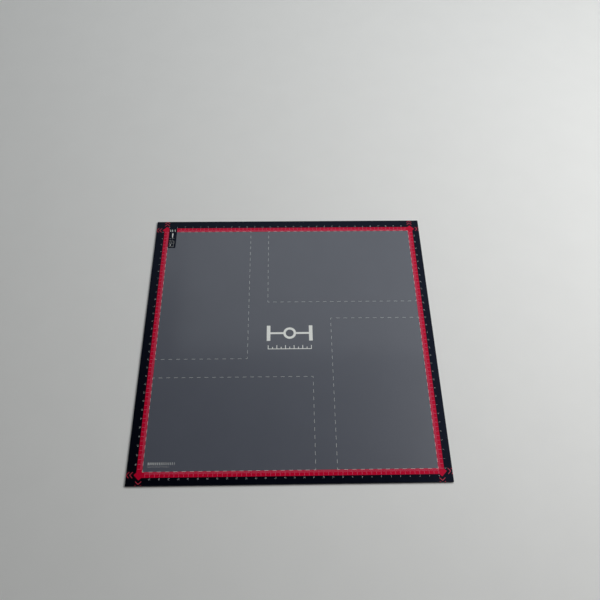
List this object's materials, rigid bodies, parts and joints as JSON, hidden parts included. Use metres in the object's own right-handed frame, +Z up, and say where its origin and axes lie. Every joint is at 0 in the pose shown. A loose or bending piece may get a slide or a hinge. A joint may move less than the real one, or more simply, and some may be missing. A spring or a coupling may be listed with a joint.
{
  "type": "self healing mat",
  "caption": "Square laminated cutting mat with a printed ruler frame, pointed corner marks and a plain grey working field.",
  "frame": {"origin": "centre of the underside of the sheet, on the surface that the mat lies on", "axes": "+Z up out of the printed working face; +Y towards the rear edge, where the label is in the left-hand corner; +X to the right"},
  "size_m": [0.339, 0.339, 0.0021],
  "materials": {
    "slate_pvc": "satin, fine moulded grain",
    "black_pvc": "matte, fine moulded grain",
    "stiff_pvc": "smooth, knife-cut edge",
    "adhesive": "clear, slightly yellow",
    "black_ink": "satin screen print",
    "red_ink": "satin screen print",
    "white_ink": "satin screen print"
  },
  "bodies": {
    "root": {"bottom_healing_ply": "black_pvc", "lower_bond_film": "adhesive", "stiff_core_ply": "stiff_pvc", "upper_bond_film": "adhesive", "top_healing_ply": "slate_pvc", "border_ink": "black_ink", "corner_label": "black_ink", "ruler_band_ink": "red_ink", "chevron_rear_left_to_rear_1": "red_ink", "chevron_rear_left_to_rear_2": "red_ink", "chevron_rear_left_to_left_1": "red_ink", "chevron_rear_left_to_left_2": "red_ink", "chevron_rear_right_to_rear_1": "red_ink", "chevron_rear_right_to_rear_2": "red_ink", "chevron_rear_right_to_right_1": "red_ink", "chevron_rear_right_to_right_2_left_wing": "red_ink", "chevron_rear_right_to_right_2_right_wing": "red_ink", "chevron_front_left_to_front_1": "red_ink", "chevron_front_left_to_front_2_left_wing": "red_ink", "chevron_front_left_to_front_2_right_wing": "red_ink", "chevron_front_left_to_left_1": "red_ink", "chevron_front_left_to_left_2": "red_ink", "chevron_front_right_to_front_1": "red_ink", "chevron_front_right_to_front_2_left_wing": "red_ink", "chevron_front_right_to_front_2_right_wing": "red_ink", "chevron_front_right_to_right_1": "red_ink", "chevron_front_right_to_right_2_left_wing": "red_ink", "chevron_front_right_to_right_2_right_wing": "red_ink", "emblem": "white_ink"}
  },
  "joints": []
}
